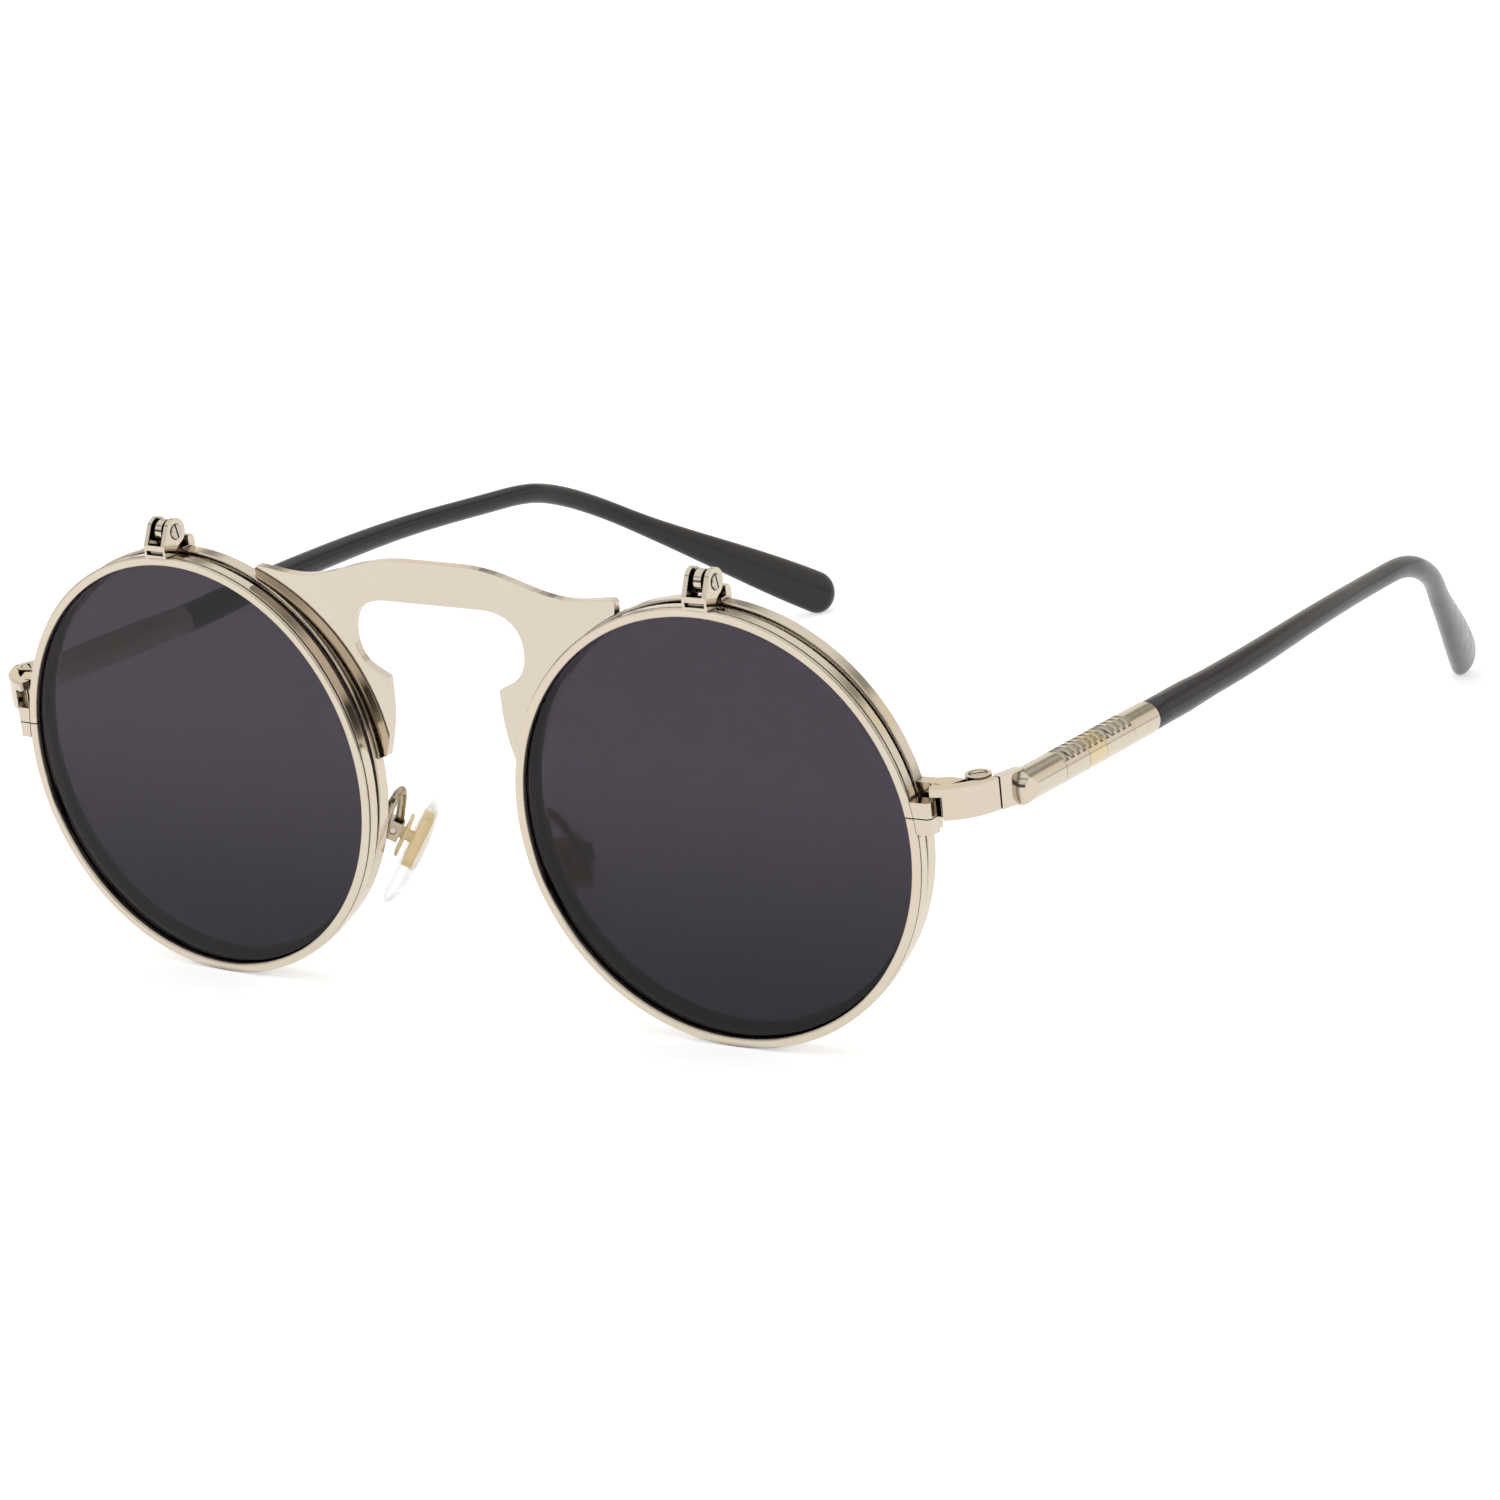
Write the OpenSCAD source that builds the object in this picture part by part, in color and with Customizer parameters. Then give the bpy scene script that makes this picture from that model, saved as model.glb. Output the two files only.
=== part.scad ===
// Round flip-up sunglasses with a flat keyhole bridge, standing on the rims and both temple tips.
// +Z is up, the front of the glasses faces -Y and +X is the wearer's left. Lengths are millimetres.

/* [Front] */
// Distance between the two lens centres
lens_pitch = 69; // [67:0.5:71]
// Sweep of each half of the front towards the ear, degrees
wrap = 2.2; // [1.6:0.1:2.6]
// Visible radius of a dark flip lens
dark_r = 23.5; // [23.3:0.1:23.6]
// Outer radius of a flip rim
flip_rim_r = 24.5; // [24.4:0.05:24.6]
// Depth of a flip rim, front to back
flip_depth = 1.75; // [1.65:0.05:1.8]
// Visible radius of a clear lens
clear_r = 22.95; // [22.8:0.05:23]
// Outer radius of a main rim
main_rim_r = 24.25; // [24.1:0.05:24.4]
// Front face of the main rims behind the front face of the flip rims
main_front = 2.5; // [2.45:0.05:2.6]
// Depth of a main rim, front to back
main_depth = 1.6; // [1.5:0.05:1.65]
// Height of the main rim centres above the flip rim centres
main_lift = 0.5; // [0.4:0.05:0.6]

/* [Bridge plate] */
// Front face of the plate behind the front face of the flip rims
plate_front = 2.1; // [2:0.05:2.2]
// Thickness of the plate
plate_t = 1; // [0.8:0.1:1.1]
// Height of the plate's straight top edge over the lens centres
plate_top = 25.9; // [25.6:0.1:26.2]
// Height of the top of the keyhole opening
keyhole_top = 21.25; // [21:0.05:21.5]
// Half width of the keyhole opening at its widest
keyhole_half = 11.3; // [11.1:0.1:11.4]
// Half width of the gap between the two legs at their upper corners
leg_half = 7.45; // [7.3:0.05:7.6]

/* [Flip hinge] */
// Sideways place of the flip hinge from its lens centre, towards the ear
fork_x = 1; // [0.8:0.1:1.2]
// Flip hinge axis behind the front face of the flip rims
pin_y = 1.87; // [1.85:0.01:1.9]
// Flip hinge axis over the lens centre
pin_z = 27; // [26.9:0.05:27.1]
// Outer width of the fork
fork_w = 2.96; // [2.9:0.02:3]
// Thickness of one ear of the fork
ear_t = 0.55; // [0.5:0.05:0.6]
// Radius of the rounded ear ends
ear_r = 1.5; // [1.45:0.05:1.55]
// Width of the tongue between the ears
tongue_w = 0.9; // [0.8:0.05:1]
// Radius of the hinge pin's shank
pin_r = 0.5; // [0.45:0.05:0.55]

/* [Temples] */
// Sideways place of the temple hinge axis
pivot_x = 63.15; // [63.1:0.05:63.2]
// Temple hinge axis behind the front face of the flip rims
pivot_y = 7.05; // [7:0.05:7.1]
// Radius of the hinge barrels
barrel_r = 1.4; // [1.35:0.05:1.45]
// Radius of the round metal bar
bar_r = 1.85; // [1.8:0.05:1.9]
// Downward slope of the metal bar from the hinge, degrees
bar_slope = 3.75; // [3.5:0.05:4]
// Length of the metal bar with its collars and ferrule
bar_len = 28.4; // [28:0.1:28.8]
// Number of ridge grooves on the front, gold and rear collars
groove_counts = [4, 3, 5]; // [3:1:5]

/* [Nose pads] */
// Length of a nose pad
pad_len = 13.6; // [13:0.1:14]
// Width of a nose pad
pad_w = 7; // [6.6:0.1:7.4]
// Thickness of a nose pad
pad_t = 2.8; // [2.6:0.1:3]

/* [Standing pose] */
// Forward lean of the front when the glasses stand on rims and tips, degrees
stand_lean = 2.834; // [2.7:0.001:2.9]
// Height of the lens centres when standing
stand_z = 24.466; // [24.4:0.001:24.6]
// Shift along Y that centres the standing glasses
stand_y = -76.186; // [-77:0.001:-74]

/* [Hidden] */
$fn = 96;
half_pitch = lens_pitch / 2;
tiny = 0.01;

// Colours as seen on the object
champagne = [0.87, 0.82, 0.74];
gold = [0.86, 0.74, 0.45];
steel = [0.72, 0.70, 0.66];
smoke = [0.25, 0.24, 0.27];
clear = [0.85, 0.90, 0.92];
charcoal = [0.13, 0.13, 0.15];
amber = [0.90, 0.72, 0.35];

// Lenses: both are flat discs with a V bevel that sits in the rim's groove
lens_slack = 0.07;
bevel_h = 0.45;
flip_groove_y = 1.175;
dark_front = 0.75;
dark_back = 1.9;
clear_front = 2.7;
clear_back = 3.9;
main_back = main_front + main_depth;
main_groove_y = 3.3;

// Rim closing blocks
slit = 0.12;
// The two flip rims sit turned by slightly different amounts, so each block has its own height
flip_slit_left = 3.7;
flip_slit_right = 2.5;
flip_lock_h = 3.5;
flip_lock_x = 26.2;
flip_lock_axis = [25.35, 0.9];
tongue_r = 1.3;
lock_screw_r = 0.35;
lock_head_r = 0.55;
main_slit_z = 3.12;
main_lock_axis = [59.2, 4.25];

// End piece, in plan an arc strap from the rim to the temple
strap_c = [58.5, 9];
strap_r = 7.3;
strap_t = 1.2;
strap_edge = 0.15;
strap_z = [3.2, 6.8];
notch_x = 61.45;
notch_z = 5.8;
butt_gap = 0.25;

// Temple hinge barrels: two on the end piece, one on the temple between them
barrel_gap = 0.1;
mid_barrel_z = [4.35, 5.65];
barrel_top = 6.95;
hinge_screw_r = 0.55;
run_gap = 0.04;
barrel_room = 0.22;

// Metal bar: it starts at bar_start, and its own Y axis runs down along it
bar_start = [65.4, 10, 4.2];
core_r = 1.2;
collar_y = [8, 12.9, 16.6, 22.75];
collar_gap = 0.05;
groove_span = 116;
groove_r = 0.34;
// Its front end is a dome, and a slanted flat on the outer side runs out in an arc
dome_y = 2.7;
dome_r = 2.45;
flat_x = 0.75;
flat_y = -0.2;
flat_slant = 24.6;
ferrule_r = 1.83;
ferrule_bore = 1.6;
core_end = 24.3;

// Temple tip: points that its centre line passes through, from the bar over the ear bend to its end
tip_points = [
    [65.4, 22, 3.41],
    [65.4, 38.4, 2.34],
    [65.9, 60, 1.45],
    [65.1, 80, 0.4],
    [63.5, 98, -1.4],
    [62.75, 106, -2.5],
    [62.1, 111.6, -4.4],
    [60.6, 118, -7.8],
    [57.5, 126.2, -13.3],
    [52.8, 138.8, -21.6],
    [47.6, 152.3, -30.6],
    [42.4, 165.8, -39.6]
];
tip_neck_r = 1.54;
tip_start_r = 1.72;
tip_round = 0.24;

// Nose pads: centre, long axis pointing down the nose, and face normal towards the nose
pad_c = [11.3, 7.3, -10.2];
pad_down = [0.43, -0.31, -0.85];
pad_face = [-0.76, 0.44, -0.48];

// Shared placing
module stand() translate([0, stand_y, stand_z]) rotate([stand_lean, 0, 0]) children();
module on_side(s) {
    if (s > 0) children();
    else mirror([1, 0, 0]) children();
}
module placed(s) stand() on_side(s) children();
module at_lens() translate([half_pitch, 0, 0]) rotate([0, 0, wrap]) children();
module at_main() at_lens() translate([0, 0, main_lift]) children();
module at_fork() at_lens() translate([fork_x, 0, 0]) children();
module at_bar() translate(bar_start) rotate([-bar_slope, 0, 0]) children();
module spin_y(outline, sides = 192) rotate([-90, 0, 0]) rotate_extrude($fn = sides) polygon(outline);
module rod_y(r, y0, y1) translate([0, y0, 0]) rotate([-90, 0, 0]) cylinder(r = r, h = y1 - y0);
module rod_x(r, x0, x1) translate([x0, 0, 0]) rotate([0, 90, 0]) cylinder(r = r, h = x1 - x0);
// Extrudes an outline drawn in Y and Z along X
module slab_x(outline, x0, x1) translate([x0, 0, 0]) rotate([90, 0, 90])
    linear_extrude(x1 - x0) polygon(outline);

// Vector and curve helpers
function unit(v) = v / norm(v);
function bez_at(p, t) = let (u = 1 - t)
    u * u * u * p[0] + 3 * u * u * t * p[1] + 3 * u * t * t * p[2] + t * t * t * p[3];
function bez(p, n) = [for (i = [0:n]) bez_at(p, i / n)];
function butlast(p) = [for (i = [0:len(p) - 2]) p[i]];
function flipped(p) = [for (i = [len(p) - 1:-1:0]) [-p[i][0], p[i][1]]];

// A closed tube of oval section along a path; side is a direction the section's first axis keeps to
module sweep(path, wide, tall, side, sides) {
    last = len(path) - 1;
    pts = [for (i = [0:last])
        let (t = unit(path[min(i + 1, last)] - path[max(i - 1, 0)]),
             up = unit(cross(t, side)),
             out = cross(up, t))
        for (k = [0:sides - 1])
            let (a = 360 * (k + 0.5) / sides)
            path[i] + wide[i] * cos(a) * out + tall[i] * sin(a) * up];
    walls = [for (i = [0:last - 1]) for (k = [0:sides - 1])
        let (k2 = (k + 1) % sides)
        each [[i * sides + k, (i + 1) * sides + k2, i * sides + k2],
              [i * sides + k, (i + 1) * sides + k, (i + 1) * sides + k2]]];
    caps = [[for (k = [0:sides - 1]) k], [for (k = [sides - 1:-1:0]) last * sides + k]];
    polyhedron(pts, concat(walls, caps), convexity = 6);
}

// Front frame
module bridge_plate() {
    tip = [23.4, 23.85];
    saddle = [18, 23.3];
    top_line = [4, plate_top];
    corner = [leg_half, 12.3];
    foot = [8.9, 3.2];
    half = concat(
        butlast(bez([[0, plate_top], [1, plate_top], [3, plate_top], top_line], 3)),
        butlast(bez([top_line, [10, plate_top - 0.1], [13, saddle[1]], saddle], 14)),
        butlast(bez([saddle, [20, saddle[1]], [21.5, 23.7], tip], 8)),
        [tip, [23.75, 23.5], [23.2, 19], [13, 2.6], [10.5, 2.6]],
        butlast(bez([foot, [7.6, 7], [leg_half, 8.5], corner], 8)),
        butlast(bez([corner, [8.3, 13.1], [keyhole_half, 13.2], [keyhole_half, 17]], 10)),
        butlast(bez([[keyhole_half, 17], [keyhole_half, 20], [9, keyhole_top], [6.2, keyhole_top]], 10)),
        [[6.2, keyhole_top], [0, keyhole_top]]);
    color(champagne) stand() difference() {
        translate([0, plate_front, 0]) rotate([90, 0, 0]) mirror([0, 0, 1])
            linear_extrude(plate_t) polygon(concat(half, flipped(half)));
        for (s = [1, -1]) on_side(s) at_main() rod_y(main_rim_r + tiny, -5, 10);
    }
}

module grooved_ring(inner, outer, front, back, groove_y, lip_line) {
    round_in = 0.1;
    line = [front + 0.24, front + 0.3, front + 0.4, front + 0.46];
    groove = bevel_h + 0.02;
    outline = concat(
        [[inner, front + round_in], [inner + round_in, front], [outer - round_in, front],
         [outer, front + round_in]],
        lip_line ? [[outer, line[0]], [outer - 0.2, line[1]], [outer - 0.2, line[2]], [outer, line[3]]] : [],
        [[outer, back - round_in], [outer - round_in, back], [inner + round_in, back],
         [inner, back - round_in], [inner, groove_y + 0.35], [inner + groove, groove_y + 0.08],
         [inner + groove, groove_y - 0.08], [inner, groove_y - 0.35]]);
    spin_y(outline);
}

module bevelled_lens(radius, front, back, groove_y) {
    r = radius - lens_slack;
    crown = r + bevel_h;
    spin_y([[0, front], [r - 0.1, front], [r, front + 0.1], [r, groove_y - 0.31], [crown, groove_y - 0.05],
            [crown, groove_y + 0.05], [r, groove_y + 0.31], [r, back - 0.1], [r - 0.1, back], [0, back]]);
}

module main_rim(s) color(champagne) placed(s) difference() {
    at_main() grooved_ring(clear_r, main_rim_r, main_front, main_back, main_groove_y, false);
    translate([half_pitch + 20, 0, main_slit_z - slit / 2]) cube([6, 9, slit]);
}

module clear_lens(s) color(clear) placed(s) at_main()
    bevelled_lens(clear_r, clear_front, clear_back, main_groove_y);

// Lower closing block of the main rim; its upper half is the root of the end piece
module rim_lock(s) color(champagne) placed(s) difference() {
    translate([57.2, 3.5, 1.5]) cube([2.5, 1.5, main_slit_z - slit / 2 - 1.5]);
    at_main() rod_y(main_rim_r + tiny, -5, 10);
    translate([main_lock_axis[0], main_lock_axis[1], 0]) cylinder(r = lock_screw_r + 0.02, h = 9);
}

module slotted_screw(shank_r, shank_len, head_r, head_h, slot_w = 0.2) {
    difference() {
        union() {
            translate([0, 0, -shank_len]) cylinder(r = shank_r, h = shank_len + tiny);
            cylinder(r = head_r, h = head_h - 0.08);
            translate([0, 0, head_h - 0.08]) cylinder(r1 = head_r, r2 = head_r - 0.1, h = 0.08);
        }
        translate([-head_r - 1, -slot_w / 2, head_h - 0.18]) cube([2 * head_r + 2, slot_w, 1]);
    }
}

module rim_lock_screw(s) color(steel) placed(s)
    translate([main_lock_axis[0], main_lock_axis[1], 1.48]) rotate([180, 0, 25])
        slotted_screw(lock_screw_r, 3.4, 0.42, 0.4);

module barrel(z0, z1, r = barrel_r) translate([pivot_x, pivot_y, z0]) rotate([0, 0, 150])
    cylinder(r = r, h = z1 - z0);

module end_piece(s) color(champagne) placed(s) difference() {
    union() {
        difference() {
            translate([strap_c[0], strap_c[1], 0]) rotate([0, 0, -76]) rotate_extrude(angle = 70, $fn = 192)
                polygon([[strap_r - strap_t, strap_z[0]], [strap_r - strap_edge, strap_z[0]],
                         [strap_r, strap_z[0] + strap_edge], [strap_r, strap_z[1] - strap_edge],
                         [strap_r - strap_edge, strap_z[1]], [strap_r - strap_t, strap_z[1]]]);
            translate([50, pivot_y, 0]) cube([20, 10, 10]);
            translate([55, 0, 0]) cube([notch_x - 55, 3.3, notch_z]);
        }
        translate([0, 0, strap_z[0]]) linear_extrude(strap_z[1] - strap_z[0])
            polygon([[57, 3.4], [61.6, 3.4], [62.6, 5.6], [60.8, 5.7], [59.6, 5.1], [57, 4.85]]);
        barrel(strap_z[0], mid_barrel_z[0] - barrel_gap);
        barrel(mid_barrel_z[1] + barrel_gap, barrel_top);
    }
    at_main() rod_y(main_rim_r + tiny, -5, 10);
    barrel(mid_barrel_z[0] - barrel_gap, mid_barrel_z[1] + barrel_gap, barrel_r + barrel_room);
    barrel(0, 10, hinge_screw_r + 0.02);
    barrel(barrel_top - 0.5, 10, 1);
    translate([main_lock_axis[0], main_lock_axis[1], 0]) cylinder(r = lock_screw_r + 0.02, h = 5.2);
}

module temple_hinge_screw(s) color(steel) placed(s) translate([pivot_x, pivot_y, barrel_top - 0.48])
    rotate([0, 0, 40]) slotted_screw(hinge_screw_r, 3.2, 0.95, 0.5, 0.26);

module flip_tongue(s) color(champagne) placed(s) difference() {
    at_fork() {
        translate([0, pin_y, pin_z]) rod_x(tongue_r, -tongue_w / 2, tongue_w / 2);
        slab_x([[pin_y, 25.72], [2.5, 25.55], [3, 24.4], [4.4, 24.4], [4.4, 26], [2.95, 27.7]],
            -tongue_w / 2, tongue_w / 2);
        slab_x([[2.6, 24], [4.7, 24], [4.7, 25.5], [4.35, 26], [3.85, 26], [3.65, 25.8], [3.65, 24.95],
                [2.6, 24.95]], -fork_w / 2, fork_w / 2);
    }
    at_main() rod_y(main_rim_r + tiny, -5, 4.1);
    at_fork() translate([0, pin_y, pin_z]) rod_x(pin_r + run_gap, -3, 3);
}

// Nose pads: place a child so that +X runs down the nose, +Z faces the nose and +Y crosses it
pad_n = unit(pad_face - (pad_face * unit(pad_down)) * unit(pad_down));
pad_cross = cross(pad_n, unit(pad_down));
module at_pad() multmatrix([
    [unit(pad_down)[0], pad_cross[0], pad_n[0], pad_c[0]],
    [unit(pad_down)[1], pad_cross[1], pad_n[1], pad_c[1]],
    [unit(pad_down)[2], pad_cross[2], pad_n[2], pad_c[2]]]) children();
function pad_point(p) = pad_c + p[0] * unit(pad_down) + p[1] * pad_cross + p[2] * pad_n;

box_x = -1.6;
box_len = 2.2;
box_wall = 0.35;
pad_back = 1;
box_in = 1.5;
box_z = [-3.95, -2.15];
screw_z = -3.05;
eye_r = 0.55;
module nose_pad(s) color(clear) placed(s) at_pad() difference() {
    scale([pad_len / 2, pad_w / 2, pad_t / 2]) sphere(r = 1, $fn = 40);
    translate([-20, -20, -20]) cube([40, 40, 20 - pad_back]);
    core_plate(0.02);
    translate([box_x - 1, -0.62, -5]) cube([2, 1.24, 5]);
}
module core_plate(grow) translate([-4.6 - grow, -1.6 - grow, -0.6 - grow])
    cube([5.9 + 2 * grow, 3.2 + 2 * grow, 1.15 + 2 * grow]);

module pad_core(s) color(amber) placed(s) at_pad() difference() {
    union() {
        core_plate(0);
        translate([-3.6, -1.5, -1.8]) cube([4.4, 3, 0.35]);
        translate([box_x - eye_r, -0.5, screw_z]) cube([2 * eye_r, 1, -0.4 - screw_z]);
        translate([box_x, 0, screw_z]) rotate([90, 0, 0]) cylinder(r = eye_r, h = 1, center = true);
    }
    translate([box_x, 0, screw_z]) rotate([90, 0, 0]) cylinder(r = 0.4 + run_gap, h = 3, center = true);
}

// The arm leaves the back of the main rim, rises in a loop and comes down into its box
module pad_arm(s) {
    root = [11.9, 2.8, -6.8];
    top = [10.1, 5.2, -2.1];
    entry = pad_point([box_x - box_len / 2 + 0.15, 0, -2.75]);
    path = concat(
        butlast(bez([root, root + [-0.2, 0.5, 1.2], top - [0, 1.4, 0.1], top], 12)),
        bez([top, top + [0, 0.8, 0.1], entry + [-0.9, -0.3, 2.6], entry], 12));
    n = len(path);
    radius = [for (i = [0:n - 1]) 0.5];
    color(champagne) placed(s) {
        difference() {
            sweep(path, radius, radius, [0.75, -0.1, 0.3], 10);
            at_main() rod_y(main_rim_r + tiny, -5, main_back + tiny);
        }
        at_pad() difference() {
            translate([box_x - box_len / 2, -box_in / 2 - box_wall, box_z[0] - box_wall])
                cube([box_len, box_in + 2 * box_wall, box_z[1] - box_z[0] + box_wall]);
            translate([box_x - box_len / 2 + box_wall, -box_in / 2, box_z[0]])
                cube([box_len, box_in, 5]);
            translate([box_x, 0, screw_z]) rotate([90, 0, 0]) cylinder(r = 0.42, h = 9, center = true);
        }
    }
}

module pad_screw(s) color(steel) placed(s) at_pad()
    translate([box_x, -box_in / 2 - box_wall, screw_z]) rotate([90, 0, 0]) slotted_screw(0.4, 2.1, 0.7, 0.3);

// Flip-up part
function flip_slit(s) = s > 0 ? flip_slit_left : flip_slit_right;

module flip_rim(s) color(champagne) placed(s) at_lens() difference() {
    grooved_ring(dark_r, flip_rim_r, 0, flip_depth, flip_groove_y, true);
    translate([20, -1, flip_slit(s) - slit / 2]) cube([6, 5, slit]);
}

module dark_lens(s) color(smoke) placed(s) at_lens()
    bevelled_lens(dark_r, dark_front, dark_back, flip_groove_y);

module flip_lock(s) color(champagne) placed(s) at_lens() translate([0, 0, flip_slit(s)]) difference() {
    for (z = [-flip_lock_h / 2, slit / 2]) translate([0, 0, z]) linear_extrude((flip_lock_h - slit) / 2)
        polygon([[23.6, 0.02], [flip_lock_x - 0.4, 0.02], [flip_lock_x, 0.4],
                 [flip_lock_x, flip_depth - 0.3], [flip_lock_x - 0.3, flip_depth], [23.6, flip_depth]]);
    translate([0, 0, -flip_slit(s)]) rod_y(flip_rim_r + tiny, -5, 5);
    translate([flip_lock_axis[0], flip_lock_axis[1], -9]) {
        cylinder(r = lock_screw_r + 0.02, h = 9 + 1.3);
        cylinder(r = lock_head_r + 0.03, h = 9.35 - flip_lock_h / 2);
    }
}

module flip_lock_screw(s) color(steel) placed(s) at_lens()
    translate([flip_lock_axis[0], flip_lock_axis[1], flip_slit(s) - flip_lock_h / 2 + 0.33])
        rotate([180, 0, 70]) slotted_screw(lock_screw_r, 2.6, lock_head_r, 0.4);

// The screw heads are both on the viewer's right, so the fork takes the side it is built for
module flip_fork(s) {
    half = fork_w / 2;
    color(champagne) placed(s) at_fork() difference() {
        union() {
            for (e = [-1, 1]) translate([e * (half - ear_t / 2), 0, 0]) {
                translate([0, pin_y, pin_z]) rod_x(ear_r, -ear_t / 2, ear_t / 2);
                slab_x([[-0.4, 24], [1.45, 24], [1.45, 24.95], [3.1, 26.15], [pin_y, pin_z], [0.45, 27.5],
                        [-0.4, 25.75]], -ear_t / 2, ear_t / 2);
            }
            slab_x([[-0.4, 24], [1.45, 24], [1.45, 25.1], [0.3, 25.1], [0.3, 25.9], [-0.4, 25.9]],
                -half + tiny, half - tiny);
        }
        translate([-fork_x, 0, 0]) rod_y(flip_rim_r + tiny, -5, 5);
        translate([-half + 0.3, -1, 24.78]) cube([fork_w - 0.6, 0.95, 0.5]);
        translate([0, pin_y, pin_z]) rod_x(pin_r + 0.02, -3, 3);
        translate([0, pin_y, pin_z]) on_side(s) rod_x(0.9, half - 0.25, 3);
    }
}

module flip_hinge_screw(s) color(steel) placed(s) at_fork() translate([0, pin_y, pin_z]) on_side(s)
    translate([fork_w / 2 - 0.24, 0, 0]) rotate([0, 90, 0]) rotate([0, 0, 12])
        slotted_screw(pin_r, fork_w - 0.24, 0.86, 0.42, 0.22);

// Temples
module temple_arm(s) color(champagne) placed(s) difference() {
    union() {
        // Flat front section, sloping with the bar
        intersection() {
            linear_extrude(9)
                polygon([[64.3, pivot_y + butt_gap], [65.6, pivot_y + butt_gap], [65.68, 8.7], [65.7, 12],
                         [64.5, 12], [64.45, 9]]);
            slab_x([[pivot_y, 3.22], [pivot_y, 6.78], [12, 6.05], [12, 2.35]], 60, 70);
        }
        // Leaf and barrel between the end piece's two barrels
        barrel(mid_barrel_z[0], mid_barrel_z[1]);
        translate([pivot_x, pivot_y + butt_gap, mid_barrel_z[0]])
            cube([1.9, 1.15, mid_barrel_z[1] - mid_barrel_z[0]]);
        // Round bar with a domed front and a flat milled on its outer side, and the core under the collars
        at_bar() difference() {
            union() {
                intersection() {
                    rod_y(bar_r, -1, collar_y[0]);
                    union() {
                        translate([0, dome_y, 0]) sphere(r = dome_r);
                        rod_y(bar_r + 1, dome_y, 20);
                    }
                }
                rod_y(core_r, 1, core_end);
            }
            translate([flat_x, flat_y, 0]) rotate([0, 0, -flat_slant]) translate([0, -3, -3]) cube([3, 9, 6]);
        }
    }
    barrel(mid_barrel_z[1] + tiny, 10, barrel_r + barrel_room);
    barrel(0, mid_barrel_z[0] - tiny, barrel_r + barrel_room);
    barrel(0, 10, hinge_screw_r + run_gap);
}

// A collar with grooves milled over its upper side; the underside stays smooth
module collar(y0, y1, grooves) difference() {
    rod_y(bar_r, y0 + collar_gap, y1);
    rod_y(core_r + 0.02, y0 - 1, y1 + 1);
    pitch = (y1 - y0) / grooves;
    for (i = [0:grooves - 1]) translate([0, y0 + pitch * (i + 0.5), 0])
        rotate([90, 0, 0]) rotate([0, 0, 90 - groove_span / 2]) rotate_extrude(angle = groove_span, $fn = 96)
            translate([bar_r + 0.05, 0]) circle(r = groove_r, $fn = 24);
}
module front_collar(s) color(champagne) placed(s) at_bar() collar(collar_y[0], collar_y[1], groove_counts[0]);
module gold_collar(s) color(gold) placed(s) at_bar() collar(collar_y[1], collar_y[2], groove_counts[1]);
module rear_collar(s) color(champagne) placed(s) at_bar() collar(collar_y[2], collar_y[3], groove_counts[2]);

module ferrule(s) color(champagne) placed(s) at_bar() difference() {
    union() {
        rod_y(ferrule_r, collar_y[3] + collar_gap, bar_len - 0.1);
        translate([0, bar_len - 0.1, 0]) rotate([-90, 0, 0])
            cylinder(r1 = ferrule_r, r2 = ferrule_r - 0.1, h = 0.1);
    }
    rod_y(core_r + 0.02, 20, core_end);
    rod_y(ferrule_bore, core_end, 40);
}

// Smooth curve through the points, t running from 0 at point k to 1 at the next
function pass(k, t) =
    let (p0 = tip_points[k - 1], p1 = tip_points[k], p2 = tip_points[k + 1], p3 = tip_points[k + 2],
         d1 = norm(p2 - p1), m1 = d1 * (p2 - p0) / norm(p2 - p0), m2 = d1 * (p3 - p1) / norm(p3 - p1))
    (2 * t * t * t - 3 * t * t + 1) * p1 + (t * t * t - 2 * t * t + t) * m1
    + (3 * t * t - 2 * t * t * t) * p2 + (t * t * t - t * t) * m2;
function bar_point(y) = bar_start + y * [0, cos(bar_slope), -sin(bar_slope)];
// Centre line of the black tip, from inside the ferrule to its end behind the ear
tip_path = concat([bar_point(core_end + 0.1), bar_point(bar_len + 0.04), bar_point(bar_len + 0.06)],
    [for (k = [1:8]) for (t = [0:0.25:0.75]) if (k > 1 || t > 0) pass(k, t)],
    [for (t = [0:0.25:0.75]) pass(9, t * (1 - tip_round) / 0.75)],
    [for (a = [10:10:90]) pass(9, 1 - tip_round * (1 - sin(a)))]);
// Distance along the centre line at each of its points
function run_to(p, i) = i == 0 ? 0 : run_to(p, i - 1) + norm(p[i] - p[i - 1]);
tip_total = run_to(tip_path, len(tip_path) - 1);
function ramp(x, a, b) = let (t = min(max((x - a) / (b - a), 0), 1)) t * t * (3 - 2 * t);
function end_cap(left, r) = left >= r ? 1 : sqrt(max(1 - pow(1 - left / r, 2), 0.006));
function tip_neck(d) = tip_start_r - 0.15 * ramp(d, 12.7, 16.7);
function tip_tall(d) = tip_neck(d) - 0.27 * ramp(d, 16.7, 62) + 1.6 * ramp(d, 88, tip_total - 3);
function tip_wide(d) = tip_neck(d) - 0.37 * ramp(d, 16.7, 62) + 0.35 * ramp(d, 88, tip_total - 5);

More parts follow.
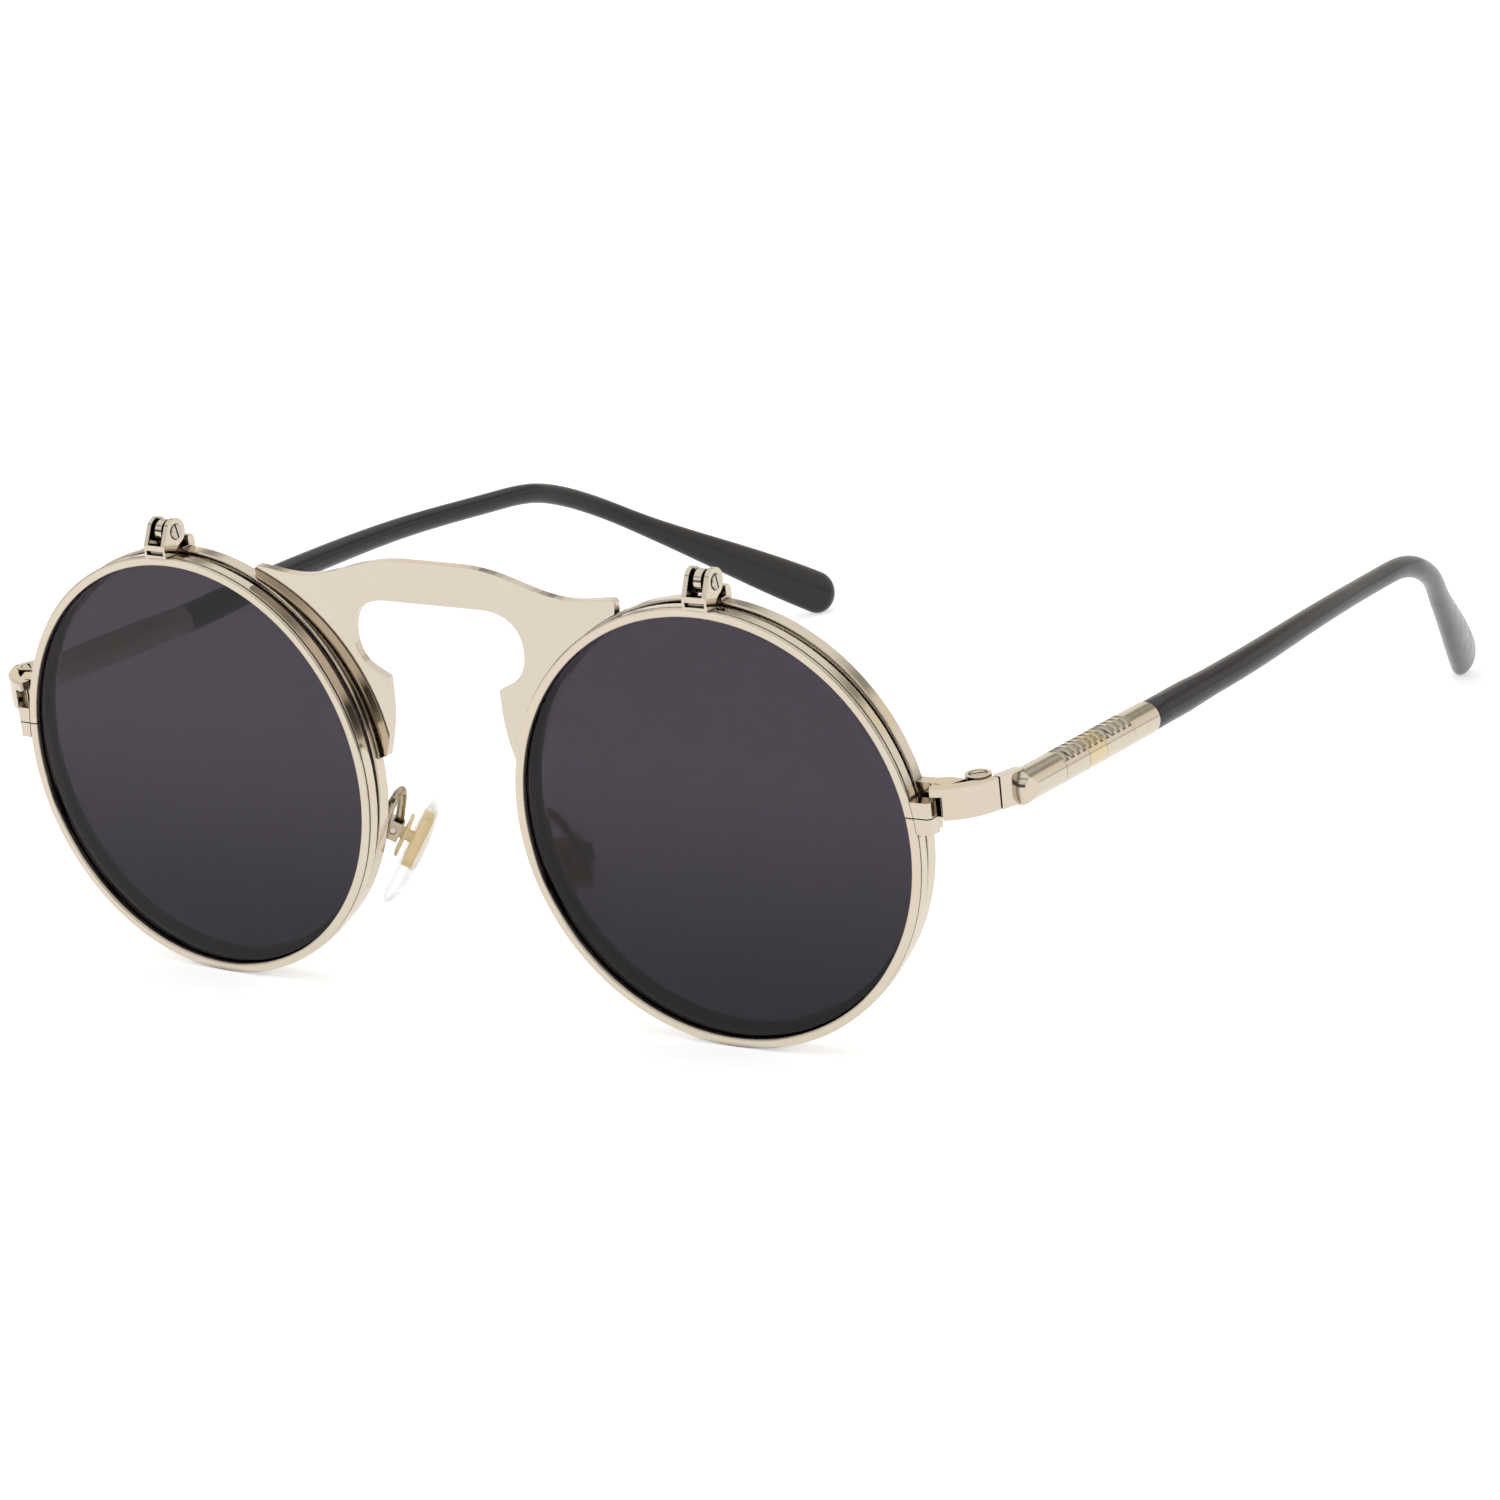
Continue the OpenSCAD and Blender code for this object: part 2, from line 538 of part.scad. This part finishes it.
module temple_tip(s) {
    n = len(tip_path);
    runs = [for (i = [0:n - 1]) run_to(tip_path, i)];
    tall = [for (i = [0:n - 1]) i < 2 ? tip_neck_r : tip_tall(runs[i]) * end_cap(tip_total - runs[i], 3)];
    wide = [for (i = [0:n - 1]) i < 2 ? tip_neck_r : tip_wide(runs[i]) * end_cap(tip_total - runs[i], 2)];
    color(charcoal) placed(s) difference() {
        sweep(tip_path, wide, tall, [1, 0, 0], 20);
        sweep(wire_path, wire_radius(0.72), wire_radius(0.72), [1, 0, 0], 8);
    }
}

wire_path = [for (i = [0:len(tip_path) - 16]) tip_path[i]];
function wire_radius(r) = [for (i = [0:len(wire_path) - 1]) r];
module core_wire(s) color(steel) placed(s)
    sweep(wire_path, wire_radius(0.7), wire_radius(0.7), [1, 0, 0], 8);

bridge_plate();
main_rim(1);  // main_rim_left
main_rim(-1);  // main_rim_right
clear_lens(1);  // clear_lens_left
clear_lens(-1);  // clear_lens_right
rim_lock(1);  // rim_lock_left
rim_lock(-1);  // rim_lock_right
rim_lock_screw(1);  // rim_lock_screw_left
rim_lock_screw(-1);  // rim_lock_screw_right
end_piece(1);  // end_piece_left
end_piece(-1);  // end_piece_right
temple_hinge_screw(1);  // temple_hinge_screw_left
temple_hinge_screw(-1);  // temple_hinge_screw_right
flip_tongue(1);  // flip_tongue_left
flip_tongue(-1);  // flip_tongue_right
pad_arm(1);  // pad_arm_left
pad_arm(-1);  // pad_arm_right
pad_screw(1);  // pad_screw_left
pad_screw(-1);  // pad_screw_right
flip_rim(1);  // flip_rim_left
flip_rim(-1);  // flip_rim_right
dark_lens(1);  // dark_lens_left
dark_lens(-1);  // dark_lens_right
flip_lock(1);  // flip_lock_left
flip_lock(-1);  // flip_lock_right
flip_lock_screw(1);  // flip_lock_screw_left
flip_lock_screw(-1);  // flip_lock_screw_right
flip_fork(1);  // flip_fork_left
flip_fork(-1);  // flip_fork_right
flip_hinge_screw(1);  // flip_hinge_screw_left
flip_hinge_screw(-1);  // flip_hinge_screw_right
nose_pad(1);  // nose_pad_left
nose_pad(-1);  // nose_pad_right
pad_core(1);  // pad_core_left
pad_core(-1);  // pad_core_right
temple_arm(1);  // temple_arm_left
temple_arm(-1);  // temple_arm_right
front_collar(1);  // front_collar_left
front_collar(-1);  // front_collar_right
gold_collar(1);  // gold_collar_left
gold_collar(-1);  // gold_collar_right
rear_collar(1);  // rear_collar_left
rear_collar(-1);  // rear_collar_right
ferrule(1);  // ferrule_left
ferrule(-1);  // ferrule_right
core_wire(1);  // core_wire_left
core_wire(-1);  // core_wire_right
temple_tip(1);  // temple_tip_left
temple_tip(-1);  // temple_tip_right
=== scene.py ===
import bpy
import math
from mathutils import Matrix, Vector


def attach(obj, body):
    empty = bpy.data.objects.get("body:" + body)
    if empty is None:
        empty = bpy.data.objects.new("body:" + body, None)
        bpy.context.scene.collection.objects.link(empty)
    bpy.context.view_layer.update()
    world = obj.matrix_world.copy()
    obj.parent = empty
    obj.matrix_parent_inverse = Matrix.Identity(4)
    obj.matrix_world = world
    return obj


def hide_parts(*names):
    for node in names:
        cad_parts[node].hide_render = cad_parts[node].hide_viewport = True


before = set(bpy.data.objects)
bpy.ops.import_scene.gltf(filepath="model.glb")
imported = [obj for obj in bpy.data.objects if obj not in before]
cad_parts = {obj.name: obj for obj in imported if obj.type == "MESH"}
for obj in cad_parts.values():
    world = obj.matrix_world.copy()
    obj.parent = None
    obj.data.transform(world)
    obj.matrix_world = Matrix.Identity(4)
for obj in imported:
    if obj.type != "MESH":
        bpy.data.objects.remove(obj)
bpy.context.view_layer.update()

SIDES = (("left", 1), ("right", -1))
MM = 0.001

# Placing: the front's own frame, in mm, leans forward and stands on the floor
LEAN = Matrix.Rotation(math.radians(2.834), 3, "X")
STAND = Vector((0, -76.186, 24.466))

# Camera, in the front's own frame: right, up and back axes, then its place in mm
CAMERA_AXES = (
    Vector((0.84051049, 0.53217616, -0.10163981)),
    Vector((-0.0954094, 0.33005139, 0.93912892)),
    Vector((0.53332839, -0.77965031, 0.32818626)),
)
CAMERA_PLACE = (326.434, -418.363, 185.720)
CAMERA_LENS = 124.8
CAMERA_SENSOR = 36

# Studio: soft boxes as name, place and size in metres, and watts, all aimed at one point
LAMPS = (
    ("top_box", (-0.15, -0.1, 0.75), (0.7, 0.7), 1.2),
    ("left_box", (-0.7, -0.45, 0.4), (0.45, 0.5), 1.4),
    ("right_box", (0.75, 0.1, 0.35), (0.3, 0.6), 0.8),
)
LAMP_AIM = Vector((0, -0.02, 0.02))
FLOOR_RADIUS = 0.9
FLOOR_STEP = 10
# the floor's tone, then its lift towards white: for the camera, then for metal and glass
FLOOR_TONE = (0.62, 0.24)
FLOOR_LIFT = (0.56, 0.83)
WHITE = (1, 1, 1, 1)

# World light by height, 0 at the horizon: the room in front, then the white sweep behind
ROOM_STOPS = ((0.0, 0.30), (0.05, 0.12), (0.18, 0.06), (0.28, 0.90), (0.55, 1.0), (0.64, 0.30), (0.72, 1.0),
              (1.0, 1.0))
# each stop of the sweep has a level and how much of its blue is left
SWEEP_STOPS = ((0.0, 0.60, 1.0), (0.07, 1.0, 0.97), (0.24, 1.0, 0.97), (0.34, 1.0, 0.80), (0.42, 0.95, 0.84),
               (0.48, 0.40, 0.90), (0.52, 0.40, 0.90), (0.60, 1.0, 0.96), (1.0, 1.0, 1.0))
# depth over which the room turns into the sweep
BEHIND_RUN = (-0.15, 0.35)
STUDIO_LEVEL = 0.95

# Painted shade in metal gaps: reach in metres, the openness over which the shade clears, and how dark it is
GAP_REACH = 0.0009
GAP_RUN = (0.46, 0.80)
GAP_SHADE = 0.06

# Lens tint: the heights in metres over which it fades, and its unevenness
TINT_RUN = (0.004, 0.034)
TINT_UNEVEN = 0.06

# Temple bar and tip, in mm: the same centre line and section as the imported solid
BAR_START = Vector((65.4, 10, 4.2))
BAR_SLOPE = math.radians(3.75)
BAR_DIR = Vector((0, math.cos(BAR_SLOPE), -math.sin(BAR_SLOPE)))
BAR_LEN = 28.4
CORE_END = 24.3
TIP_POINTS = [Vector(p) for p in (
    (65.4, 22, 3.41), (65.4, 38.4, 2.34), (65.9, 60, 1.45), (65.1, 80, 0.4), (63.5, 98, -1.4),
    (62.75, 106, -2.5), (62.1, 111.6, -4.4), (60.6, 118, -7.8), (57.5, 126.2, -13.3),
    (52.8, 138.8, -21.6), (47.6, 152.3, -30.6), (42.4, 165.8, -39.6))]
TIP_STEPS = 8
TIP_SIDES = 40
# share of the last stretch that the rounded end takes up
TIP_ROUND = 0.24
PLUG_R = 1.54
START_R = 1.72
# how much the first rings outside the ferrule are smaller, for a rounded shoulder
SHOULDER_IN = (0.1, 0.03, 0.0)
# rings inside the ferrule, then at the shoulder, measured along the bar
PLUG_RINGS = (CORE_END + 0.1, BAR_LEN - 0.4, BAR_LEN + 0.02)
SHOULDER_RINGS = (BAR_LEN + 0.05, BAR_LEN + 0.12, BAR_LEN + 0.3)
# distances along the tip where it narrows after the ferrule, slims down, and widens to the paddle
NECK_RUN = (12.7, 16.7)
NECK_IN = 0.15
SLIM_RUN = (16.7, 62)
PADDLE_START = 88
# half height, then half width: how far it slims, what the paddle adds, and how far before the end
# the paddle is full and the rounding starts
TIP_SHAPE = ((0.27, 1.6, 3, 3), (0.37, 0.35, 5, 2))

# Nose pad, in mm: centre, long axis and the direction of its face
PAD_CENTRE = Vector((11.3, 7.3, -10.2))
PAD_X = Vector((0.43, -0.31, -0.85)).normalized()
PAD_FACE = Vector((-0.76, 0.44, -0.48))
PAD_Z = (PAD_FACE - PAD_FACE.dot(PAD_X) * PAD_X).normalized()
PAD_Y = PAD_Z.cross(PAD_X)
PAD_HALF_LEN = 6.75
PAD_HALF_WIDE = 3.45
# how much narrower the upper end is
PAD_TAPER = 0.07
PAD_SIDES = 48
# rings from the crowned face round the rim to the back, each as share of the radius and height
PAD_RINGS = ((0.04, 1.3), (0.2, 1.28), (0.4, 1.19), (0.58, 1.04), (0.74, 0.82), (0.86, 0.55), (0.945, 0.22),
             (0.985, -0.1), (0.985, -0.35), (0.95, -0.6), (0.89, -0.78), (0.8, -0.9), (0.66, -0.96),
             (0.5, -0.93), (0.36, -0.9), (0.28, -0.92))


def placed(p, side=1):
    """A point of the front's frame in mm, as a point of the scene in metres."""
    return (LEAN @ Vector((p[0] * side, p[1], p[2])) + STAND) * MM


def add_object(name, data):
    obj = bpy.data.objects.new(name, data)
    bpy.context.scene.collection.objects.link(obj)
    return obj


def make_camera():
    data = bpy.data.cameras.new("camera")
    data.sensor_width = CAMERA_SENSOR
    data.lens = CAMERA_LENS
    data.clip_start = 0.01
    data.clip_end = 20
    cam = add_object("camera", data)
    turn = Matrix([LEAN @ axis for axis in CAMERA_AXES]).transposed()
    cam.matrix_world = Matrix.Translation(placed(CAMERA_PLACE)) @ turn.to_4x4()
    bpy.context.scene.camera = cam


# Node helpers
def empty_tree(owner, output):
    """The node tree of a material or world, emptied, and its new output node."""
    owner.use_nodes = True
    tree = owner.node_tree
    tree.nodes.clear()
    return tree, tree.nodes.new(output)


def node(tree, kind, **values):
    """A new node; a value goes to the input of that name, or else to the node's own setting."""
    made = tree.nodes.new(kind)
    for key, value in values.items():
        if key in made.inputs:
            made.inputs[key].default_value = value
        else:
            setattr(made, key, value)
    return made


def math_node(tree, operation, first, second, third=None):
    """A maths node whose inputs are numbers or output sockets."""
    made = node(tree, "ShaderNodeMath", operation=operation)
    for index, value in enumerate((first, second, third)):
        if isinstance(value, bpy.types.NodeSocket):
            tree.links.new(value, made.inputs[index])
        elif value is not None:
            made.inputs[index].default_value = value
    return made.outputs[0]


def map_range(tree, value, source, target=(0.0, 1.0), smooth=False):
    """A value moved from one range to another, and held to its ends."""
    made = node(tree, "ShaderNodeMapRange", interpolation_type="SMOOTHSTEP" if smooth else "LINEAR")
    for name, number in zip(("From Min", "From Max", "To Min", "To Max"), (*source, *target)):
        made.inputs[name].default_value = number
    tree.links.new(value, made.inputs["Value"])
    return made.outputs["Result"]


def axes(tree, kind):
    """The X, Y and Z outputs of one kind of texture coordinate."""
    coords = tree.nodes.new("ShaderNodeTexCoord")
    parts = tree.nodes.new("ShaderNodeSeparateXYZ")
    tree.links.new(coords.outputs[kind], parts.inputs[0])
    return parts.outputs


def noise(tree, scale, detail=3.0, stretch=None):
    """Noise in the object's own coordinates; stretch draws it out along an axis."""
    coords = tree.nodes.new("ShaderNodeTexCoord")
    texture = node(tree, "ShaderNodeTexNoise", Scale=scale, Detail=detail)
    source = coords.outputs["Object"]
    if stretch:
        mapping = tree.nodes.new("ShaderNodeMapping")
        mapping.inputs["Scale"].default_value = stretch
        tree.links.new(source, mapping.inputs["Vector"])
        source = mapping.outputs["Vector"]
    tree.links.new(source, texture.inputs["Vector"])
    return texture.outputs["Fac"]


def spread(tree, value, low, high):
    """Noise, which stays near its middle, spread over a range."""
    return map_range(tree, value, (0.3, 0.7), (low, high))


def blend_colors(tree, factor, first, second):
    """Mix of two colours, each a triple or an output socket."""
    mix = node(tree, "ShaderNodeMix", data_type="RGBA")
    # sockets 6 and 7 are the colour pair, 0 the factor
    for index, value in ((6, first), (7, second)):
        if isinstance(value, bpy.types.NodeSocket):
            tree.links.new(value, mix.inputs[index])
        else:
            mix.inputs[index].default_value = (*value, 1)
    tree.links.new(factor, mix.inputs[0])
    return mix.outputs[2]


def color_ramp(tree, value, stops):
    """Colour by value; the first stop is at 0 and the last at 1."""
    made = tree.nodes.new("ShaderNodeValToRGB")
    elements = made.color_ramp.elements
    elements[0].color = (*stops[0][1], 1)
    elements[1].color = (*stops[-1][1], 1)
    for place, color in stops[1:-1]:
        elements.new(place).color = (*color, 1)
    tree.links.new(value, made.inputs[0])
    return made.outputs["Color"]


def bump(tree, height, strength, distance, normal=None):
    made = node(tree, "ShaderNodeBump", Strength=strength, Distance=distance)
    tree.links.new(height, made.inputs["Height"])
    if normal:
        tree.links.new(normal, made.inputs["Normal"])
    return made.outputs["Normal"]


def principled(name, ior=1.5, transmission=0.0, metallic=0.0, alpha=1.0):
    """A new material with one shader, its tree and that shader's inputs."""
    mat = bpy.data.materials.new(name)
    tree, out = empty_tree(mat, "ShaderNodeOutputMaterial")
    shader = node(tree, "ShaderNodeBsdfPrincipled", IOR=ior, Metallic=metallic, Alpha=alpha)
    shader.inputs["Transmission Weight"].default_value = transmission
    tree.links.new(shader.outputs["BSDF"], out.inputs["Surface"])
    return mat, tree, shader.inputs


# Materials
def metal(name, color, shade, rough=(0.05, 0.11), edge=0.00008, grain=None, marks=0.02):
    """Polished plating: rounded edges, faint polishing marks, a slightly varied tone and painted shade in
    gaps.
    """
    mat, tree, inputs = principled(name, metallic=1.0)
    links = tree.links
    # painted shade: narrow grooves and gaps, where little light reaches, are painted darker
    openness = node(tree, "ShaderNodeAmbientOcclusion", samples=6, Distance=GAP_REACH)
    unshaded = map_range(tree, openness.outputs["AO"], GAP_RUN, smooth=True)
    gap_shade = [GAP_SHADE * c for c in color]
    plated = blend_colors(tree, noise(tree, scale=160), color, shade)
    links.new(blend_colors(tree, unshaded, gap_shade, plated), inputs["Base Color"])
    polish = noise(tree, scale=900, detail=4, stretch=grain)
    links.new(spread(tree, polish, *rough), inputs["Roughness"])
    rounded = node(tree, "ShaderNodeBevel", samples=4, Radius=edge)
    scratches = noise(tree, scale=2600, detail=2, stretch=grain)
    marked = bump(tree, scratches, strength=marks, distance=0.00002, normal=rounded.outputs["Normal"])
    links.new(marked, inputs["Normal"])
    return mat


def lens_material(name, color, low_color, ior):
    """Tinted glass whose tint deepens towards the lower edge, with a trace of unevenness."""
    mat, tree, inputs = principled(name, ior=ior, transmission=1.0)
    inputs["Roughness"].default_value = 0.0
    height = map_range(tree, axes(tree, "Object")["Z"], TINT_RUN, smooth=True)
    uneven = math_node(tree, "MULTIPLY_ADD", noise(tree, scale=30, detail=1), TINT_UNEVEN, height)
    tree.links.new(blend_colors(tree, uneven, low_color, color), inputs["Base Color"])
    return mat


def plastic(name, color, shade, ior, grain, rough, rough_grain, transmission=0.0, alpha=1.0):
    """Plastic or rubber with a faint mottle in its colour and its shine."""
    mat, tree, inputs = principled(name, ior=ior, transmission=transmission, alpha=alpha)
    tree.links.new(blend_colors(tree, noise(tree, scale=grain), color, shade), inputs["Base Color"])
    tree.links.new(spread(tree, noise(tree, scale=rough_grain), *rough), inputs["Roughness"])
    return mat, tree, inputs


def tip_material():
    """Glossy black acetate with a slightly wavy surface."""
    mat, tree, inputs = plastic("tip_black", (0.006, 0.004, 0.006), (0.011, 0.009, 0.012), ior=1.45,
                                grain=220, rough=(0.16, 0.24), rough_grain=500)
    waves = noise(tree, scale=900, detail=2)
    tree.links.new(bump(tree, waves, strength=0.03, distance=0.00003), inputs["Normal"])
    return mat


def floor_material():
    """White, with its shadows kept; what the camera, metal and glass see of it is lifted to white."""
    mat = bpy.data.materials.new("floor")
    tree, out = empty_tree(mat, "ShaderNodeOutputMaterial")
    links = tree.links
    matte = node(tree, "ShaderNodeBsdfDiffuse")
    glow = node(tree, "ShaderNodeEmission", Color=WHITE)
    path = tree.nodes.new("ShaderNodeLightPath").outputs
    mirrored = math_node(tree, "MAXIMUM", path["Is Glossy Ray"], path["Is Transmission Ray"])
    # metal and glass see a whiter, less shaded floor
    links.new(map_range(tree, mirrored, (0.0, 1.0), FLOOR_TONE), matte.inputs["Color"])
    seen = math_node(tree, "MULTIPLY", path["Is Camera Ray"], FLOOR_LIFT[0])
    links.new(math_node(tree, "MULTIPLY_ADD", mirrored, FLOOR_LIFT[1], seen), glow.inputs["Strength"])
    added = tree.nodes.new("ShaderNodeAddShader")
    links.new(matte.outputs[0], added.inputs[0])
    links.new(glow.outputs[0], added.inputs[1])
    links.new(added.outputs[0], out.inputs["Surface"])
    return mat


# Studio
def make_world():
    """White to the camera and through glass; as light, a bright sweep behind and a dark room in front."""
    world = bpy.data.worlds.new("studio")
    bpy.context.scene.world = world
    tree, out = empty_tree(world, "ShaderNodeOutputWorld")
    links = tree.links
    facing = axes(tree, "Generated")
    room = color_ramp(tree, facing["Z"], [(place, (level,) * 3) for place, level in ROOM_STOPS])
    sweep = color_ramp(tree, facing["Z"], [
        (place, (level, level * (2 + blue) / 3, level * blue)) for place, level, blue in SWEEP_STOPS])
    behind = map_range(tree, facing["Y"], BEHIND_RUN)
    studio = node(tree, "ShaderNodeBackground", Strength=STUDIO_LEVEL)
    links.new(blend_colors(tree, behind, room, sweep), studio.inputs["Color"])
    white = node(tree, "ShaderNodeBackground", Color=WHITE)
    path = tree.nodes.new("ShaderNodeLightPath").outputs
    pick = tree.nodes.new("ShaderNodeMixShader")
    links.new(math_node(tree, "MAXIMUM", path["Is Camera Ray"], path["Is Transmission Ray"]), pick.inputs[0])
    links.new(studio.outputs[0], pick.inputs[1])
    links.new(white.outputs[0], pick.inputs[2])
    links.new(pick.outputs[0], out.inputs["Surface"])


def soft_box(name, place, size, watts):
    data = bpy.data.lights.new(name, "AREA")
    data.shape = "RECTANGLE"
    data.size, data.size_y = size
    data.energy = watts
    lamp = add_object(name, data)
    lamp.location = place
    lamp.visible_glossy = False
    lamp.visible_transmission = False
    lamp.rotation_euler = (LAMP_AIM - Vector(place)).to_track_quat("-Z", "Y").to_euler()


def make_studio():
    make_world()
    mesh = bpy.data.meshes.new("floor")
    angles = [math.radians(d) for d in range(0, 360, FLOOR_STEP)]
    corners = [(math.cos(a) * FLOOR_RADIUS, math.sin(a) * FLOOR_RADIUS, 0) for a in angles]
    mesh.from_pydata(corners, [], [list(range(len(corners)))])
    mesh.materials.append(floor_material())
    floor = add_object("floor", mesh)
    for lamp in LAMPS:
        soft_box(*lamp)


# Meshes
def add_mesh(name, rings, side, body, mat):
    """A closed smooth skin through rings of points, capped at both ends, facing out on either side."""
    count = len(rings[0])
    faces = []
    for i in range(len(rings) - 1):
        for k in range(count):
            n = (k + 1) % count
            faces.append([i * count + k, i * count + n, (i + 1) * count + n, (i + 1) * count + k])
    faces.append(list(range(count))[::-1])
    faces.append([(len(rings) - 1) * count + k for k in range(count)])
    if side > 0:
        faces = [face[::-1] for face in faces]
    mesh = bpy.data.meshes.new(name)
    mesh.from_pydata([tuple(v) for ring in rings for v in ring], [], faces)
    mesh.materials.append(mat)
    for poly in mesh.polygons:
        poly.use_smooth = True
    mesh.update()
    obj = add_object(name, mesh)
    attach(obj, body)
    return obj


def curve_at(k, t):
    """Point at share t of the stretch from tip point k to k + 1, on a smooth curve through them all."""
    before, start, end, after = TIP_POINTS[k - 1:k + 3]
    length = (end - start).length
    leave = (end - before).normalized() * length
    arrive = (after - start).normalized() * length
    return ((2 * t ** 3 - 3 * t ** 2 + 1) * start + (t ** 3 - 2 * t ** 2 + t) * leave
            + (3 * t ** 2 - 2 * t ** 3) * end + (t ** 3 - t ** 2) * arrive)


def ramp(x, a, b):
    """0 before a, 1 after b, and a smooth rise between."""
    t = min(max((x - a) / (b - a), 0), 1)
    return t * t * (3 - 2 * t)


def end_cap(left, r):
    """Share of the full section that is left at a distance from a rounded end."""
    return 1 if left >= r else math.sqrt(max(1 - (1 - left / r) ** 2, 0.0004))


def tip_line():
    last = len(TIP_POINTS) - 3
    line = [BAR_START + BAR_DIR * y for y in PLUG_RINGS + SHOULDER_RINGS]
    for k in range(1, last):
        line += [curve_at(k, i / TIP_STEPS) for i in range(TIP_STEPS) if k > 1 or i > 0]
    line += [curve_at(last, i / TIP_STEPS * (1 - TIP_ROUND)) for i in range(TIP_STEPS)]
    line += [curve_at(last, 1 - TIP_ROUND * (1 - math.sin(math.radians(a)))) for a in range(0, 91, 6)]
    return line


def tip_section(ring, run, total):
    """Half height and half width of the tip at a ring and its distance along the tip."""
    plug = len(PLUG_RINGS)
    sizes = []
    for slim, paddle, full, rounded in TIP_SHAPE:
        if ring < plug:
            size = PLUG_R
        elif ring < plug + len(SHOULDER_RINGS):
            size = START_R - SHOULDER_IN[ring - plug]
        else:
            size = START_R - NECK_IN * ramp(run, *NECK_RUN) - slim * ramp(run, *SLIM_RUN)
            size += paddle * ramp(run, PADDLE_START, total - full)
        sizes.append(size * end_cap(total - run, rounded))
    return sizes


def temple_tip(name, side, mat):
    line = tip_line()
    angles = [math.radians(360 * (k + 0.5) / TIP_SIDES) for k in range(TIP_SIDES)]
    runs = [0.0]
    for a, b in zip(line, line[1:]):
        runs.append(runs[-1] + (b - a).length)
    rings = []
    for i, point in enumerate(line):
        ahead = (line[min(i + 1, len(line) - 1)] - line[max(i - 1, 0)]).normalized()
        up = ahead.cross(Vector((1, 0, 0))).normalized()
        out = up.cross(ahead)
        tall, wide = tip_section(i, runs[i], runs[-1])
        rings.append([placed(point + wide * math.cos(a) * out + tall * math.sin(a) * up, side)
                      for a in angles])
    obj = add_mesh("acetate_tip_" + name, rings, side, "temple_" + name, mat)
    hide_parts("temple_tip_" + name)


def nose_pad(name, side, mat):
    angles = [math.radians(360 * k / PAD_SIDES) for k in range(PAD_SIDES)]
    rings = []
    for share, height in PAD_RINGS:
        ring = []
        for a in angles:
            along = PAD_HALF_LEN * share * math.cos(a)
            across = PAD_HALF_WIDE * share * math.sin(a) * (1 - PAD_TAPER * (1 - math.cos(a)) / 2)
            ring.append(placed(PAD_CENTRE + along * PAD_X + across * PAD_Y + height * PAD_Z, side))
        rings.append(ring)
    obj = add_mesh("silicone_pad_" + name, rings, side, "pad_" + name, mat)
    smooth = obj.modifiers.new("round", "SUBSURF")
    smooth.levels = 1
    smooth.render_levels = 1
    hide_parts("nose_pad_" + name)


make_camera()
make_studio()

CHAMPAGNE = metal("champagne_plating", (0.70, 0.62, 0.52), (0.65, 0.56, 0.44))
MIRROR = metal("champagne_mirror", (0.70, 0.62, 0.53), (0.66, 0.58, 0.48), rough=(0.02, 0.05), marks=0.01)
GOLD = metal("gold_plating", (0.76, 0.64, 0.43), (0.70, 0.56, 0.34))
# painted shade: the pad arms get a darker copy of the champagne plating
SHADED_ARM = metal("arm_plating_shaded", (0.50, 0.43, 0.32), (0.42, 0.35, 0.25), rough=(0.08, 0.16))
RIM = metal("rim_plating", (0.72, 0.64, 0.53), (0.67, 0.58, 0.46), edge=0.00025)
STEEL = metal("turned_steel", (0.66, 0.60, 0.51), (0.56, 0.50, 0.42), rough=(0.14, 0.24),
              grain=(1, 1, 14), marks=0.08)
AMBER = plastic("amber_insert", (1.0, 0.85, 0.54), (1.0, 0.78, 0.41), ior=1.38,
                grain=300, rough=(0.3, 0.5), rough_grain=900, transmission=0.6)[0]
SMOKE = lens_material("smoke_lens", (0.052, 0.041, 0.058), (0.016, 0.013, 0.021), ior=1.34)
CLEAR = lens_material("clear_lens", (0.97, 0.98, 0.98), (0.95, 0.97, 0.97), ior=1.5)
TIP = tip_material()
SILICONE = plastic("pad_silicone", (0.98, 0.98, 0.97), (0.94, 0.94, 0.93), ior=1.36,
                   grain=300, rough=(0.06, 0.16), rough_grain=700, transmission=0.92, alpha=0.45)[0]

FINISHES = (
    ("main_rim", RIM), ("flip_rim", RIM), ("bridge_plate", MIRROR), ("gold_collar", GOLD),
    ("pad_core", AMBER), ("pad_arm", SHADED_ARM), ("screw", STEEL), ("core_wire", STEEL), ("dark_lens", SMOKE),
    ("clear_lens", CLEAR), ("temple_tip", TIP), ("nose_pad", SILICONE),
)


def finish_for(name):
    """The finish whose word the node's name holds, or else champagne plating."""
    for word, finish in FINISHES:
        if word in name:
            return finish
    return CHAMPAGNE


for name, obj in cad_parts.items():
    for slot in obj.material_slots:
        slot.material = finish_for(name)

for name, side in SIDES:
    temple_tip(name, side, TIP)
    nose_pad(name, side, SILICONE)

bpy.context.scene.view_settings.view_transform = "Standard"
bpy.context.view_layer.update()
